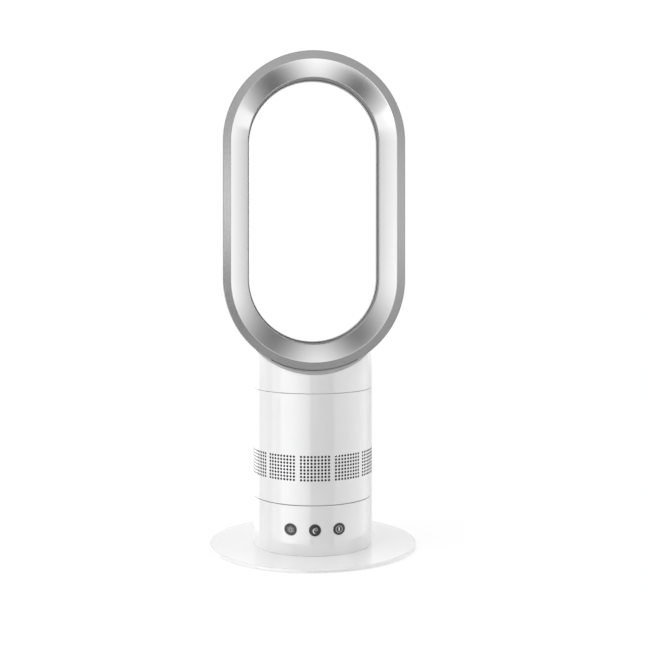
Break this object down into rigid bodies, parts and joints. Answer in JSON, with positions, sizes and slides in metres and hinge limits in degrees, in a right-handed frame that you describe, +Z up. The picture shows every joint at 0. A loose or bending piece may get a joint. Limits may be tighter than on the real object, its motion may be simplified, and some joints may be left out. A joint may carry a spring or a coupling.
{
  "type": "bladeless fan",
  "caption": "Free-standing bladeless fan: an oval air loop on a round tower with an inlet grille, push buttons and a base that it swings on.",
  "frame": {"origin": "on the floor, on the axis that the tower swings about", "axes": "+Z up, the front with the buttons towards -Y, +X to the right seen from the front"},
  "size_m": [0.252, 0.252, 0.5963],
  "materials": {
    "plate_paint": "gloss",
    "white_plastic": "gloss",
    "loop_silver": "satin silver paint",
    "silver_trim": "satin",
    "button_plastic": "satin",
    "dark_plastic": "matte",
    "inner_plastic": "matte",
    "gear_plastic": "satin",
    "glide_plastic": "satin",
    "circuit_board": "satin",
    "foam": "open-cell foam",
    "rubber": "matte",
    "screw_steel": "plated",
    "motor_steel": "plated"
  },
  "bodies": {
    "base": {"base_plate": "plate_paint", "rubber_feet": "rubber", "plate_screws": "screw_steel", "control_housing": "white_plastic", "control_board": "circuit_board", "power_board": "circuit_board", "cord_bush": "dark_plastic", "glide_pads": "glide_plastic", "swing_bracket": "screw_steel", "bracket_screws": "screw_steel", "swing_motor": "motor_steel"},
    "upper_body": {"main_shell": "white_plastic", "swing_sector": "gear_plastic", "spindle_clip": "screw_steel", "driver_board": "circuit_board", "silencer_foam": "foam", "fan_plate": "inner_plastic", "fan_motor": "motor_steel", "motor_mount": "inner_plastic", "upper_collar": "white_plastic", "saddle_trim": "silver_trim", "neck_duct": "inner_plastic", "loop_front_casing": "loop_silver", "loop_rear_ring": "loop_silver", "slot_spacers": "inner_plastic"},
    "impeller": {"impeller": "inner_plastic", "motor_shaft": "screw_steel"},
    "swing_pinion": {"swing_pinion": "gear_plastic"},
    "fan_button": {"fan_button": "button_plastic"},
    "swing_button": {"swing_button": "button_plastic"},
    "power_button": {"power_button": "button_plastic"}
  },
  "joints": [
    {"name": "swing", "type": "hinge", "parent": "base", "child": "upper_body", "pos_m": [0, 0, 0.0637], "axis": [0, 0, 1], "range_deg": [-35, 35]},
    {"name": "swing_drive", "type": "hinge", "parent": "base", "child": "swing_pinion", "pos_m": [0, 0.039, 0.0498], "axis": [0, 0, 1], "range_deg": [-120, 120]},
    {"name": "impeller_spin", "type": "hinge", "parent": "upper_body", "child": "impeller", "pos_m": [0, 0, 0.148], "axis": [0, 0, 1], "continuous": true},
    {"name": "fan_press", "type": "slide", "parent": "base", "child": "fan_button", "axis": [0, 1, 0], "range_m": [0, 0.0012], "stiffness_N_per_m": 1200},
    {"name": "swing_press", "type": "slide", "parent": "base", "child": "swing_button", "axis": [0, 1, 0], "range_m": [0, 0.0012], "stiffness_N_per_m": 1200},
    {"name": "power_press", "type": "slide", "parent": "base", "child": "power_button", "axis": [0, 1, 0], "range_m": [0, 0.0012], "stiffness_N_per_m": 1200}
  ],
  "couplings": [
    {"joint": "swing_drive", "follows": "swing", "ratio": -3.3333}
  ]
}
